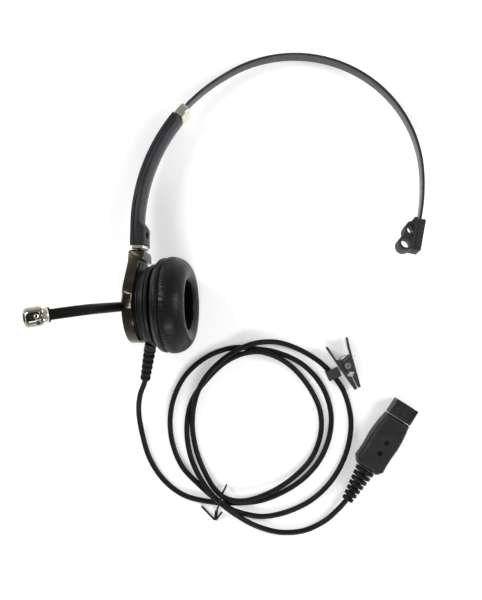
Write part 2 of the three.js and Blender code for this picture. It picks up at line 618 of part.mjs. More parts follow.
// ---------------------------------------------------------------- boom and microphone
function boomHub() {
  const body = disc(HUB.r, HUB.from, HUB.to, 36);
  const stub = disc(BOOM.r, HUB.stubStart, HUB.stubEnd, 16).rotateY(Math.PI / 2).translate(0, 0, BOOM.offset);
  const bore = disc(HUB.boreR, HUB.boreStart, HUB.stubEnd + 1, 16).rotateY(Math.PI / 2).translate(0, 0, BOOM.offset);
  const axleBore = disc(2.5, -6.2, -2, 20);
  add(boom, 'boom_hub', cut(join(body, stub), bore, axleBore), MATERIALS.boomRubber);
  const capAt = HUB.from - GAP;
  const cap = lathe([
    [0, capAt], [HUB.capR, capAt], [HUB.capR, capAt - 0.3], [HUB.capR - 0.8, capAt - 0.8], [0, capAt - 0.9],
  ], 32);
  add(boom, 'boom_hub_cap', cap, MATERIALS.cupPlastic);
  const axle = lathe([[0, -0.9], [3.4, -0.9], [3.4, -1.6], [2.2, -1.6], [2.2, -5.9], [0, -5.9]], 20);
  add(boom, 'boom_axle', axle, MATERIALS.steel);
  add(cup, 'boom_friction_washer', ring(2.8, 6.5, -3.6, -3.3, 28), MATERIALS.steel);
}

// Half a ball's profile, from its rim to its pole on the axis.
function dome(r, centre, towards) {
  const steps = [0, 18, 36, 54, 72].map(rad);
  const side = steps.map((angle) => [r * Math.cos(angle), centre + towards * r * Math.sin(angle)]);
  return [...side, [0, centre + towards * r]];
}

function boomTubes() {
  const kneeGap = BOOM.r + GAP / 2;
  const [spigotR, spigotStart] = [HUB.boreR - GAP, HUB.boreStart + GAP];
  const stem = lathe([
    [0, spigotStart], [spigotR, spigotStart], [spigotR, HUB.stubEnd + GAP], [BOOM.r, HUB.stubEnd + GAP],
    ...dome(BOOM.r, BOOM.knee - kneeGap, 1),
  ], 16);
  add(reach, 'boom_stem', stem.rotateY(Math.PI / 2), MATERIALS.boomRubber);

  const start = BOOM.knee + kneeGap;
  const points = [v3(start, 0, 0)];
  for (let i = 0; i <= 12; i += 1) {
    const angle = rad((BOOM.bendAngle * i) / 12);
    points.push(v3(BOOM.bendStart + BOOM.bendR * Math.sin(angle), 0, BOOM.bendR * (Math.cos(angle) - 1)));
  }
  const neck = tube(new THREE.CatmullRomCurve3(points, false, 'centripetal'), BOOM.r, 16, 12);
  const ball = lathe([...dome(BOOM.r, 0, -1).reverse(), ...dome(BOOM.r, 0, 1).slice(1)], 16);
  ball.rotateY(Math.PI / 2).translate(start, 0, 0);
  add(reach, 'boom_gooseneck', join(neck, ball), MATERIALS.boomRubber);
  return points[points.length - 1];
}

function microphone(end) {
  const mic = new THREE.Group();
  mic.position.copy(end);
  mic.rotation.y = rad(90 + BOOM.bendAngle);
  reach.add(mic);

  const teeth = new THREE.Shape();
  for (let i = 0; i < 36; i += 1) {
    const angle = (Math.PI * 2 * i) / 36;
    const r = i % 2 ? 3.7 : 3.3;
    const point = [r * Math.cos(angle), r * Math.sin(angle)];
    if (i === 0) teeth.moveTo(...point);
    else teeth.lineTo(...point);
  }
  add(mic, 'mic_lock_ring', plate(teeth, ...MIC.ring), MATERIALS.boomRubber);

  const [collarStart, collarEnd] = MIC.collar;
  const collar = lathe([
    [0, collarStart], [4.2, collarStart], [4.6, collarStart + 0.5], [4.6, collarEnd - 0.3],
    [4.2, collarEnd], [0, collarEnd],
  ], 28);
  add(mic, 'mic_collar', collar, MATERIALS.chrome);

  const [back, front] = MIC.capsule;
  const inner = MIC.r - MIC.wall;
  const shell = lathe([
    [inner, back], [MIC.r, back], [MIC.r, front - 1.2], [MIC.r - 1, front], [2.4, front],
    [2.4, front - MIC.wall], [inner, front - MIC.wall - 0.8],
  ], 32);
  const slot = block([-6, -1.9, back + 0.7], [-2, 1.9, front - 0.4]);
  const sideHole = disc(1.2, 2, 6, 16).rotateY(-Math.PI / 2).rotateZ(rad(-44)).translate(0, 0, back + 1.9);
  add(mic, 'mic_capsule_shell', cut(shell, slot, sideHole), MATERIALS.chrome);
  const insert = block([-4.1, -1.5, back + 1], [-3.3, 1.5, front - 0.9]);
  add(mic, 'mic_slot_insert', insert, MATERIALS.cupPlastic);
  const slotRing = ring(0.6, 1.2, 4.4, 4.8, 16).rotateY(-Math.PI / 2).translate(0, 0, back + 2.9);
  add(mic, 'mic_slot_ring', slotRing, MATERIALS.chrome);
  add(mic, 'mic_element', disc(2.9, back + 0.8, back + 6.2, 24), MATERIALS.steel);
  add(mic, 'mic_front_screen', disc(2.1, front - 0.9, front - 0.3, 20), MATERIALS.foam);
}

// ---------------------------------------------------------------- cord
function ribbedCone(from, relief, length, pitch) {
  const profile = [[0, from], [relief.r, from]];
  const share = (z) => THREE.MathUtils.lerp(relief.r, relief.endR, (z - from) / length);
  for (let i = 0; i < relief.ribs; i += 1) {
    const low = from + pitch * i;
    const ribEnd = low + pitch * relief.ribShare;
    const next = low + pitch;
    profile.push([share(low), ribEnd], [relief.coreR, ribEnd + pitch * 0.04]);
    if (i < relief.ribs - 1) profile.push([relief.coreR, next - pitch * 0.04], [share(next), next]);
  }
  profile.push([relief.coreR - 0.2, from + length], [0, from + length]);
  return lathe(profile, 20);
}

function cordPieces() {
  const route = new THREE.CatmullRomCurve3(CORD_ROUTE.map((p) => v3(...p)), false, 'centripetal');
  route.arcLengthDivisions = 2000;
  add(headset, 'cord', tube(route, CORD_DIAMETER / 2, 8, CORD_STEPS), MATERIALS.cordPvc);

  add(relief, 'cord_gland', ring(GLAND.boreR, GLAND.r, -GLAND.length, -GAP, 24), MATERIALS.cupPlastic);
  const length = v3(...CUP_RELIEF.from).distanceTo(v3(...CUP_RELIEF.to)) - GAP;
  add(relief, 'cup_strain_relief', ribbedCone(0, CUP_RELIEF, length, length / CUP_RELIEF.ribs), MATERIALS.cordPvc);
}

function rod(from, to, r) {
  const frame = aimedGroup(headset, from, to);
  const length = v3(...from).distanceTo(v3(...to));
  return inFrameOf(headset, frame, disc(r, 0, length, 10));
}

function twistTie() {
  const arch = new THREE.CatmullRomCurve3(TIE.arch.map((p) => v3(...p)), false, 'centripetal');
  const [first, second] = TIE.tails.map(([from, to]) => rod(from, to, TIE.r));
  const wire = join(tube(arch, TIE.r, 10, 24), first, second, rod(...TIE.twist, TIE.twistR));
  add(headset, 'twist_tie', wire, MATERIALS.cordPvc);
}

// ---------------------------------------------------------------- plug
// The plug's outline drawn in by the same amount all round.
function plugOutline(inset) {
  const last = PLUG_HALF_WIDTHS.length - 1;
  const along = (s, i) => s + (i === 0 ? inset : 0) - (i === last ? inset : 0);
  const right = PLUG_HALF_WIDTHS.map(([s, half], i) => v2(along(s, i), inset - half));
  const left = PLUG_HALF_WIDTHS.map(([s, half], i) => v2(along(s, i), half - inset)).reverse();
  return [...right, ...left];
}

function plugShell(levels) {
  return loft(levels, ({ inset }) => plugOutline(inset), (p, { height }) => v3(p.x, p.y, height));
}

function quickDisconnectPlug() {
  const plug = new THREE.Group();
  plug.position.set(PLUG.x, PLUG.y, PLUG.halfHeight);
  plug.rotation.z = rad(PLUG.angle);
  headset.add(plug);

  const tall = PLUG.halfHeight;
  const top = plugShell([
    { height: GAP / 2, inset: 0 }, { height: tall - 2.2, inset: 0.2 },
    { height: tall - 0.6, inset: 1 }, { height: tall, inset: 2 },
  ]);
  const dots = PLUG_DOTS.map(([s, t]) => disc(1.6, tall - 1.8, tall + 1, 16).translate(s, t, 0));
  add(plug, 'plug_top_shell', cut(top, ...dots), MATERIALS.plugPlastic);
  const bottom = plugShell([
    { height: -tall, inset: 1 }, { height: 1 - tall, inset: 0.2 }, { height: -GAP / 2, inset: 0 },
  ]);
  add(plug, 'plug_bottom_shell', bottom, MATERIALS.plugPlastic);

  const noseStart = PLUG.length + GAP;
  const noseEnd = PLUG.length + PLUG.noseLength;
  const half = PLUG.noseHalf;
  const nose = block([noseStart, -half, -5.4], [noseEnd, half, 5.4]);
  const mouth = block([noseStart + 1.6, -5.9, -3.8], [noseEnd + 1, 5.9, 3.8]);
  const windows = [[-6, -0.7], [0.7, 6]].map(([low, high]) => (
    block([noseStart + 2.2, low, 4.4], [noseEnd - 1.2, high, 7])
  ));
  add(plug, 'plug_nose', cut(nose, mouth, ...windows), MATERIALS.plugPlastic);
  [-4.5, -1.5, 1.5, 4.5].forEach((t, i) => {
    const blade = block([noseStart + 1.9, t - 0.5, -3.4], [noseStart + 7, t + 0.5, -2.8]);
    add(plug, `plug_contact_${i + 1}`, blade, MATERIALS.gold);
  });

  const reliefFrame = new THREE.Group();
  reliefFrame.rotation.y = rad(-90);
  plug.add(reliefFrame);
  const cone = ribbedCone(0.7, PLUG_RELIEF, PLUG_RELIEF.length, 3.2);
  cone.rotateX(rad(PLUG_RELIEF.sideways)).rotateY(rad(PLUG_RELIEF.down));
  add(reliefFrame, 'plug_strain_relief', cone, MATERIALS.cordPvc);
}

// ---------------------------------------------------------------- clothing clip
function leverShape(points) {
  return new THREE.Shape(points.map(([x, y]) => v2(x, y)));
}

// A pair of ears that carry the pin, from a lever's plate to just past the pin.
function ears([handleRoot, jawRoot], tip, low, high) {
  const shape = leverShape([[-5.4, handleRoot], [-3.2, tip], [3.2, tip], [5.4, jawRoot]]);
  return [plate(shape, low, high), plate(shape, -high, -low)];
}

function clothingClip() {
  const clip = new THREE.Group();
  clip.position.set(CLIP.x, CLIP.y, CLIP.z);
  clip.rotation.z = rad(CLIP.angle);
  headset.add(clip);

  const width = CLIP.halfWidth;
  const pinHole = disc(1.35, -8, 8, 16);
  const back = leverShape([
    [-15.2, -7.4], [0.2, -4.9], [14.8, -2.4], [14.6, -0.4], [7.2, -0.5], [5.6, -2.6], [0, -3.7], [-15, -6],
  ]);
  const rivetAt = (r, from, to) => disc(r, from, to, 16).rotateX(-Math.PI / 2).translate(CLIP_RIVET.x, 0, 0);
  const rivetHole = rivetAt(CLIP_RIVET.boreR, -8, 0);
  const backLever = join(plate(back, -width, width), ...ears([-5.2, -3.2], 1.9, 2.4, 3.2));
  add(clip, 'clip_back_lever', cut(backLever, pinHole, rivetHole), MATERIALS.clipPlastic);

  const front = leverShape([
    [-15.4, 7.2], [-15.2, 5.9], [-9.6, 4.4], [0, 2.8], [5.8, 1.9], [7.4, 0.2], [14.4, 0.1], [14.8, 1.7],
    [0.4, 4.2], [-9, 5.8],
  ]);
  const frontLever = join(plate(front, -width, width), ...ears([4.4, 2.7], -1.9, 3.5, 4.25));
  add(clip, 'clip_front_lever', cut(frontLever, pinHole), MATERIALS.clipPlastic);

  // A tubular pin, closed in the middle.
  const pin = lathe([
    [0, -2], [0.75, -2], [0.9, -4.9], [1.9, -4.9], [1.9, -4.55], [1.05, -4.55],
    [1.05, 4.55], [1.9, 4.55], [1.9, 4.9], [0.9, 4.9], [0.75, 2], [0, 2],
  ], 16);
  add(clip, 'clip_pin', pin, MATERIALS.steel);

  const arch = new THREE.Shape();
  arch.absarc(-1.6, 0, 4.6, rad(153), rad(222), false);
  arch.absarc(-1.6, 0, 4.1, rad(222), rad(153), true);
  arch.closePath();
  add(clip, 'clip_spring', plate(arch, -1.8, 1.8, 12), MATERIALS.steel);

  const cordFrame = aimedGroup(headset, CORD_ROUTE[CLIP_HOLDER.onCord], CORD_ROUTE[CLIP_HOLDER.onCord + 1]);
  const cordHole = inFrameOf(clip, cordFrame, disc(CLIP_HOLDER.boreR, -20, 20, 20));
  const body = block(CLIP_HOLDER.min, CLIP_HOLDER.max);
  add(clip, 'clip_cord_holder', cut(body, cordHole, rivetHole), MATERIALS.clipPlastic);
  const shank = rivetAt(CLIP_RIVET.r, CLIP_RIVET.from, CLIP_RIVET.head + 0.1);
  const head = rivetAt(CLIP_RIVET.headR, CLIP_RIVET.head, CLIP_RIVET.headTop);
  add(clip, 'clip_rivet', join(head, shank), MATERIALS.steel);
}

// ---------------------------------------------------------------- assembly
headbandStrap();
armShells();
armFerrule();
swivel();
templePad();
rimTrim();
cupCovers();
speaker();
cushionAndGrille();
boomHub();
microphone(boomTubes());
cordPieces();
twistTie();
quickDisconnectPlug();
clothingClip();

export default headset;
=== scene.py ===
"""Office headset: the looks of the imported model, in metres, in the model's own frame."""
import json
import math

import bmesh
import bpy
from mathutils import Matrix, Vector, noise

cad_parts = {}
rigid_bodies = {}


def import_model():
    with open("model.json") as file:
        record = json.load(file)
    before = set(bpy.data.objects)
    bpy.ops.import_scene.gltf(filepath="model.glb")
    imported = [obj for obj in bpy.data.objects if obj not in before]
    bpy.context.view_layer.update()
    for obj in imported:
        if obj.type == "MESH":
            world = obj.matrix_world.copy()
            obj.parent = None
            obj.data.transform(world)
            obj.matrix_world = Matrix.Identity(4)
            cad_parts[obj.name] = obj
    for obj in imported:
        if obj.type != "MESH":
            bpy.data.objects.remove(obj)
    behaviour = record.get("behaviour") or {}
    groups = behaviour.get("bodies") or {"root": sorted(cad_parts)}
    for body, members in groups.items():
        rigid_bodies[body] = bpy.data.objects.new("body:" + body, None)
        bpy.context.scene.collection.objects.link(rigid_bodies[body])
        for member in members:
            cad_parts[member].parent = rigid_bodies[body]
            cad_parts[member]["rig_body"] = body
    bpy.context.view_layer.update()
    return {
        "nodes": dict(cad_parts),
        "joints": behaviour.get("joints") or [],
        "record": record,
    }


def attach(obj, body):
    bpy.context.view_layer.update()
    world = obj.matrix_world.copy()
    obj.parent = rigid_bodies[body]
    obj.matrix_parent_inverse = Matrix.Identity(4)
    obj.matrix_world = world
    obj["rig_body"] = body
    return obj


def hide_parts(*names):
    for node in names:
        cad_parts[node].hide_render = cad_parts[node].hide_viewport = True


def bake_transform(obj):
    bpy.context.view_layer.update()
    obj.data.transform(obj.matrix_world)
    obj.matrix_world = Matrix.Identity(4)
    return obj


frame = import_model()

MM = 0.001

# ---------------------------------------------------------------- sizes and places
# The layout frame has its own zero; the part's origin is the middle of the headset's footprint.
LAYOUT_CENTRE = Vector((0.0002, 0.0579, 0.0))
CAMERA_HEIGHT = 0.5
FLOOR_Z = -0.0003
FLOOR_SIZE = 6
FLOOR_GLOW = 0.3

CORD_DIAMETER = 0.0032
CORD_ROUTE = [
    (-56.4, -48.5, 13.4), (-59.3, -55.9, 10), (-60.6, -65.8, 6), (-59.2, -78.2, 3), (-54.7, -94.2, 2),
    (-46.3, -107.3, 1.8), (-34.7, -116.3, 1.8), (-19.1, -120.5, 1.8), (-2.4, -121.3, 1.8),
    (11.7, -119.9, 1.8), (26.3, -114.1, 1.8), (38.6, -105.6, 1.8), (47.8, -94.3, 1.8), (53, -80.7, 1.8),
    (53.7, -67, 1.8), (48.7, -52, 1.8), (37.7, -39.2, 1.8), (22.7, -31.7, 1.8), (6.6, -28.9, 1.8),
    (-6, -28.7, 1.8), (-20.9, -34.3, 1.8), (-34.1, -46.2, 1.8), (-41.4, -63.4, 1.8), (-41.7, -81.9, 1.8),
    (-35.3, -99.2, 2), (-24.4, -110.4, 3.8), (-16, -117.5, 5), (-7.7, -123.3, 5), (1.8, -127.4, 3),
    (13.8, -129.4, 1.8), (29.3, -126, 1.8), (43.7, -118.4, 1.8), (55.6, -105.9, 1.8), (63.4, -89.7, 1.8),
    (65.7, -71.7, 1.9), (61.1, -54.2, 3.5), (54.7, -44.9, 4.2), (47.4, -37.3, 3.5), (35.3, -29.8, 1.9),
    (21.5, -25.2, 2.1), (8.9, -25.6, 4.4), (0, -28.7, 5.2), (-11.3, -35.8, 5), (-21.7, -46.9, 5.1),
    (-26.7, -57.6, 5), (-29.1, -73.5, 2.1), (-26.9, -89.1, 1.8), (-21.8, -102.2, 3.2), (-15.7, -112.1, 4.9),
    (-9.2, -117.6, 5.2), (1.2, -119.3, 5.2), (17.2, -114.5, 4.6), (32.2, -105, 3.2), (42.7, -93.6, 1.8),
    (47.8, -78.9, 1.8), (46.9, -64.9, 1.8), (38.9, -49.4, 1.8), (26.8, -37.1, 3.3), (13.1, -31.1, 5),
    (3, -31.5, 4.2), (-9, -36.9, 1.8), (-20.3, -47.4, 1.8), (-29.3, -60.1, 1.8), (-32.4, -75.9, 1.8),
    (-30.2, -92.9, 2.4), (-24.9, -104.5, 5), (-18.3, -113.4, 8), (-10.6, -121, 8.6), (-1.8, -127.8, 7),
    (9.5, -134.9, 2.8), (23.3, -138.7, 2.1), (37.7, -137.8, 1.8), (50.2, -131.9, 1.8), (58.1, -124.4, 3.4),
    (62.3, -119.2, 5),
]
# The cord's hidden start, inside the ear cup's strain relief.
CORD_TUCK = (-55.7, -46, 14.8)
POINTS_PER_SPAN = 6

# The boom, in metres and degrees. It starts at the hub, is straight up to the bend, and has a knee just
# before the bend.
BOOM_TURN = 188.6
BOOM_LEAN = 7.5
BOOM_RADIUS = 0.0027
BOOM_SIDES = 24
BOOM_START = 0.01205
BOOM_KNEE = (0.0515, 0.0577)
BOOM_BEND = {"start": 0.058, "radius": 0.03, "angle": 55}
STEM_STEPS = 8
KNEE_STEPS = 14
BEND_STEPS = 24

# A bright band round the horizon that turns darker overhead.
SKY_BAND = (0.1, 0.75)
SKY_TOP = 0.55
SKY_STRENGTH = 0.55

# name, place, size and power of each softbox
STUDIO_LIGHTS = [
    ("key", (-0.8, 0.5, 0.75), (0.4, 0.5), 7.5),
    ("fill", (0.95, 0.1, 0.7), (0.3, 0.6), 5.5),
    ("back", (0.1, -1.0, 0.75), (0.7, 0.25), 5.5),
]

# The ear cushion, about the cup's own axis, as [radius, height] in millimetres.
CUSHION_PROFILE = [
    (12.6, 13.4), (18.2, 13.2), (23.2, 12.5), (25.5, 13.3), (26.7, 15.1), (27, 16.9), (25.9, 17.6),
    (27, 18.4), (27, 21), (26.2, 25), (23.8, 28.7), (19.6, 31.2), (15.6, 30.6), (12.8, 27.8), (11.8, 23),
    (12, 17),
]
SECTION_POINTS_PER_SPAN = 3
# The drum behind the cushion: its steps and the grooves between them.
HOUSING_PROFILE = [
    (13, 3.5), (19.6, 3.5), (20.2, 3.8), (20.2, 4.5), (19.4, 4.6), (19.4, 4.95), (20.3, 5.05), (20.5, 5.9),
    (19.6, 6.1), (19.6, 6.5), (21.9, 6.6), (22.3, 7), (22.3, 8.3), (22, 8.6), (20.9, 8.7), (20.9, 9.1),
    (23.1, 9.2), (23.5, 9.6), (23.2, 10.8), (22.6, 11.2), (17.6, 11.2), (17.6, 6.4), (13, 6.4),
]
CUSHION_SEGMENTS = 120
DRUM_SEGMENTS = 144
DRUM_EDGE = 0.00012
HUB_TO_MIDDLE = 0.0064
SEAM_RADIUS = 0.026
SEAM_HEIGHT = 0.0176
SEAM_HALF_WIDTH = 0.0006
# Points further out than this are on the cushion's outer side.
OUTER_SIDE = 0.02
BASE_HEIGHT = 0.0136
STITCH_COUNT = 96
STITCH = {"length": 0.0011, "radius": 0.00018, "sway": 9, "sway_step": 7}
CUSHION_SWELL = 0.0008
CREASE_COUNT = 84
CREASE_DEPTH = 0.0004
CREASE_REACH = 0.006
CREASE_START = 0.0005
CREASE_DRIFT = 9
STRENGTH_SCALE = 3
DRIFT_SCALE = {"around": 2.5, "along": 60}
SOFT_DEPTH = 0.00005
SOFT_SCALE = 90
# Painted shade: the cover's colour darkens into the opening, between these radii, and a matt liner starts
# further in, whose near-black colour is painted shade too.
PAINTED_SHADE = "inside"
OPENING = (0.0135, 0.0168)
LINER_AND_SHADE_RADIUS = 0.0142
SIMULATION_SCALE = 10
SIMULATED_FRAMES = 20
RELAX_STEPS = 5
COVER_CLOTH = {
    "quality": 6,
    "mass": 0.25,
    "tension_stiffness": 25,
    "compression_stiffness": 25,
    "bending_stiffness": 0.15,
    "use_pressure": True,
    "uniform_pressure_force": 4,
    "shrink_min": -0.02,
}

# How the CAD pieces are refined: degrees, and metres.
WELD_DISTANCE = 2e-6
FLAT_ANGLE = 1.2
SHARP_ANGLE = 28
EDGE_SEGMENTS = 3

# Faces that meet at less than this many degrees are shaded as one smooth surface.
HARD_SMOOTH_ANGLE = 32
DRUM_SMOOTH_ANGLE = 40
BOOM_SMOOTH_ANGLE = 60
COVER_SMOOTH_ANGLE = 70
STITCH_SMOOTH_ANGLE = 80


def in_part(point):
    """A layout point in millimetres, as a point of the part in metres."""
    return Vector(point) * MM - LAYOUT_CENTRE


def placed(name, data):
    """A new object in the scene that shows this data."""
    thing = bpy.data.objects.new(name, data)
    bpy.context.scene.collection.objects.link(thing)
    return thing


def mesh_of(work, name):
    """The surface being edited, as a mesh of its own; the edited copy is freed."""
    mesh = bpy.data.meshes.new(name)
    work.to_mesh(mesh)
    work.free()
    return mesh


def skin_rings(work, rings):
    """Faces between each ring of points and the next."""
    for near, far in zip(rings, rings[1:]):
        for j in range(len(near)):
            k = (j + 1) % len(near)
            work.faces.new((near[j], far[j], far[k], near[k]))


# ---------------------------------------------------------------- camera and cord
def make_camera():
    data = bpy.data.cameras.new("camera")
    data.lens = 50
    data.sensor_width = 36
    data.clip_start = 0.01
    data.clip_end = 10
    camera = placed("camera", data)
    camera.location = Vector((0, 0, CAMERA_HEIGHT)) - LAYOUT_CENTRE
    bpy.context.scene.camera = camera


def smooth_route(points, per_span):
    """Points along a smooth curve through every given point, with no overshoot where they crowd."""
    ends = [points[0] * 2 - points[1], *points, points[-1] * 2 - points[-2]]
    out = [points[0]]
    for a, b, c, d in zip(ends, ends[1:], ends[2:], ends[3:]):
        before, span, after = [math.sqrt((q - p).length) for p, q in ((a, b), (b, c), (c, d))]
        start = ((b - a) / before - (c - a) / (before + span) + (c - b) / span) * span
        end = ((c - b) / span - (d - b) / (span + after) + (d - c) / after) * span
        for i in range(1, per_span + 1):
            t = i / per_span
            square = t * t * (3 * (c - b) - 2 * start - end)
            cube = t * t * t * (2 * (b - c) + start + end)
            out.append(b + start * t + square + cube)
    return out


def make_cord(material):
    data = bpy.data.curves.new("cord_sheath", "CURVE")
    data.dimensions = "3D"
    data.bevel_depth = CORD_DIAMETER / 2
    data.bevel_resolution = 5
    data.use_fill_caps = True
    route = smooth_route([in_part(p) for p in (CORD_TUCK, *CORD_ROUTE)], POINTS_PER_SPAN)
    spline = data.splines.new("POLY")
    spline.points.add(len(route) - 1)
    for point, place in zip(spline.points, route):
        point.co = (*place, 1)
    spline.use_smooth = True
    cord = placed("cord_sheath", data)
    data.materials.append(material)
    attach(cord, "ear_cup")
    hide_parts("cord")
    return cord


# ---------------------------------------------------------------- materials
class Look:
    """A node material made up a step at a time on one Principled shader."""

    def __init__(self, name, color, roughness, metallic=0.0, **sockets):
        self.material = bpy.data.materials.new(name)
        self.material.use_nodes = True
        self.tree = self.material.node_tree
        self.shader = self.tree.nodes["Principled BSDF"]
        self.color = (*color, 1)
        self.shader.inputs["Base Color"].default_value = self.color
        self.shader.inputs["Roughness"].default_value = roughness
        self.shader.inputs["Metallic"].default_value = metallic
        for socket, value in sockets.items():
            self.shader.inputs[socket.replace("_", " ")].default_value = value
        self.place = self.node("ShaderNodeTexCoord").outputs["Object"]

    def node(self, kind, **settings):
        node = self.tree.nodes.new(kind)
        for name, value in settings.items():
            setattr(node, name, value)
        return node

    def link(self, source, target):
        self.tree.links.new(source, target)

    def noise(self, scale, detail=3.0, stretch=(1, 1, 1)):
        mapping = self.node("ShaderNodeMapping")
        mapping.inputs["Scale"].default_value = stretch
        self.link(self.place, mapping.inputs["Vector"])
        texture = self.node("ShaderNodeTexNoise")
        texture.inputs["Scale"].default_value = scale
        texture.inputs["Detail"].default_value = detail
        self.link(mapping.outputs["Vector"], texture.inputs["Vector"])
        return texture.outputs["Fac"]

    def cells(self, scale, feature="F1"):
        texture = self.node("ShaderNodeTexVoronoi", feature=feature)
        texture.inputs["Scale"].default_value = scale
        self.link(self.place, texture.inputs["Vector"])
        return texture.outputs["Distance"]

    def ramp(self, source, low, high, from_low=0.35, from_high=0.65):
        """source, from from_low to from_high, turned into values from low to high."""
        mapped = self.node("ShaderNodeMapRange")
        self.link(source, mapped.inputs["Value"])
        mapped.inputs["From Min"].default_value = from_low
        mapped.inputs["From Max"].default_value = from_high
        mapped.inputs["To Min"].default_value = low
        mapped.inputs["To Max"].default_value = high
        return mapped.outputs["Result"]

    def tint(self, source, other, **limits):
        """The colour changes towards other where source is high."""
        mix = self.node("ShaderNodeMix", data_type="RGBA")
        sockets = {socket.identifier: socket for socket in [*mix.inputs, *mix.outputs]}
        self.link(self.ramp(source, 0, 1, **limits), sockets["Factor_Float"])
        current = self.shader.inputs["Base Color"]
        if current.is_linked:
            self.link(current.links[0].from_socket, sockets["A_Color"])
        else:
            sockets["A_Color"].default_value = self.color
        sockets["B_Color"].default_value = (*other, 1)
        self.link(sockets["Result_Color"], current)
        return self

    def rough(self, source, low, high, **limits):
        self.link(self.ramp(source, low, high, **limits), self.shader.inputs["Roughness"])
        return self

    def bump(self, source, depth):
        """Raised by depth metres where source is one."""
        node = self.node("ShaderNodeBump")
        node.inputs["Strength"].default_value = 1
        node.inputs["Distance"].default_value = depth
        self.link(source, node.inputs["Height"])
        normal = self.shader.inputs["Normal"]
        if normal.is_linked:
            self.link(normal.links[0].from_socket, node.inputs["Normal"])
        self.link(node.outputs["Normal"], normal)
        return self

    def worn_edges(self, color, width=0.15):
        """A paler line along the convex edges, where the surface is handled."""
        pointiness = self.node("ShaderNodeNewGeometry").outputs["Pointiness"]
        return self.tint(pointiness, color, from_low=0.5 + width * 0.3, from_high=0.5 + width)


def grained_plastic(name, color, roughness, grain=2600, depth=0.00003):
    look = Look(name, color, roughness, Specular_IOR_Level=0.22)
    look.tint(look.noise(90), [c * 1.3 + 0.0015 for c in color])
    look.rough(look.noise(420, 4), roughness - 0.07, roughness + 0.08)
    look.bump(look.noise(grain, 2), depth)
    return look


def gloss_plastic(name, color, roughness):
    look = Look(name, color, roughness, Coat_Weight=0.8, Coat_Roughness=0.06)
    look.tint(look.noise(70), [c * 1.3 + 0.003 for c in color])
    look.rough(look.noise(260, 5), roughness, roughness + 0.14)
    look.bump(look.noise(700, 2), 0.000008)
    return look


def polished(name, color, tarnish, roughness):
    look = Look(name, color, roughness, metallic=1)
    look.tint(look.noise(160, 5), tarnish, from_low=0.45, from_high=0.75)
    look.rough(look.noise(900, 3), roughness, roughness + 0.09)
    look.bump(look.noise(1500, 2, (1, 1, 6)), 0.000004)
    return look


